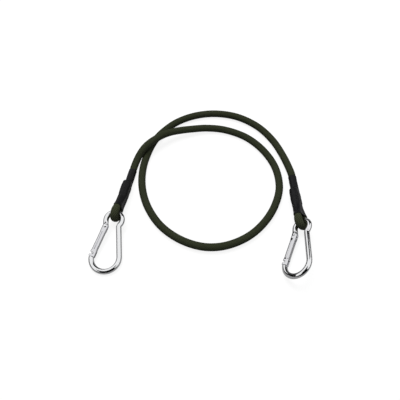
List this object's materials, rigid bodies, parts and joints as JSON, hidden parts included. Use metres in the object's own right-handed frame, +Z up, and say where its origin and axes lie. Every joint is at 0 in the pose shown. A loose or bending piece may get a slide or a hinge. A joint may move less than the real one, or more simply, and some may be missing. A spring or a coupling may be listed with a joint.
{
  "type": "bungee cord",
  "caption": "Elastic braided cord laid in a crossing loop, with a pear-shaped spring snap hook held in a folded and sleeved eye at each end.",
  "frame": {"origin": "on the surface that the cord lies on, under the middle of the box round its hooks, eyes and sleeves", "axes": "+Z up from the surface, +Y from the hooks towards the crossing of the loop, +X from the left hook to the right one as pictured"},
  "size_m": [0.2284, 0.2258, 0.0259],
  "materials": {
    "braid": "matt olive green woven braid",
    "rubber": "natural latex, dull",
    "shrink_sleeve": "charcoal shrunk tube, dull satin",
    "crimp_band": "zinc plated",
    "plated_steel": "bright nickel plating",
    "spring_steel": "drawn steel wire"
  },
  "bodies": {
    "cord": {"braided_sheath": "braid", "rubber_core": "rubber", "left_eye_sheath": "braid", "left_eye_core": "rubber", "left_sleeve": "shrink_sleeve", "left_inner_crimp": "crimp_band", "left_outer_crimp": "crimp_band", "right_eye_sheath": "braid", "right_eye_core": "rubber", "right_sleeve": "shrink_sleeve", "right_inner_crimp": "crimp_band", "right_outer_crimp": "crimp_band"},
    "left_hook": {"left_hook_frame": "plated_steel", "left_hinge_rivet": "plated_steel", "left_nose_pin": "plated_steel"},
    "left_gate": {"left_gate": "plated_steel", "left_gate_spring": "spring_steel"},
    "left_plunger": {"left_spring_plunger": "spring_steel"},
    "right_hook": {"right_hook_frame": "plated_steel", "right_hinge_rivet": "plated_steel", "right_nose_pin": "plated_steel"},
    "right_gate": {"right_gate": "plated_steel", "right_gate_spring": "spring_steel"},
    "right_plunger": {"right_spring_plunger": "spring_steel"}
  },
  "joints": [
    {"name": "left_hook_swing", "type": "hinge", "parent": "cord", "child": "left_hook", "pos_m": [-0.08934, 0.00762, 0.01201], "axis": [0.9771, -0.2123, -0.0099], "range_deg": [-110, 110]},
    {"name": "left_gate_hinge", "type": "hinge", "parent": "left_hook", "child": "left_gate", "pos_m": [-0.09941, -0.00776, 0.0096], "axis": [-0.0206, -0.1411, 0.9898], "range_deg": [0, 30], "stiffness_Nm_per_rad": 0.4, "springref_deg": -17.19},
    {"name": "left_plunger_slide", "type": "slide", "parent": "left_gate", "child": "left_plunger", "axis": [-0.3389, -0.9304, -0.1397], "range_m": [0, 0.00095], "deforming": ["left_gate_spring"]},
    {"name": "right_hook_swing", "type": "hinge", "parent": "cord", "child": "right_hook", "pos_m": [0.10546, -0.00218, 0.01146], "axis": [0.7397, 0.0421, 0.6716], "range_deg": [-110, 110]},
    {"name": "right_gate_hinge", "type": "hinge", "parent": "right_hook", "child": "right_gate", "pos_m": [0.09768, -0.0175, 0.00797], "axis": [-0.6673, 0.1743, 0.7241], "range_deg": [0, 30], "stiffness_Nm_per_rad": 0.4, "springref_deg": -17.19},
    {"name": "right_plunger_slide", "type": "slide", "parent": "right_gate", "child": "right_plunger", "axis": [-0.3755, -0.9184, -0.1249], "range_m": [0, 0.00095], "deforming": ["right_gate_spring"]}
  ],
  "couplings": [
    {"joint": "left_plunger_slide", "follows": "left_gate_hinge", "m_per_rad": 0.00172},
    {"joint": "right_plunger_slide", "follows": "right_gate_hinge", "m_per_rad": 0.00172}
  ]
}
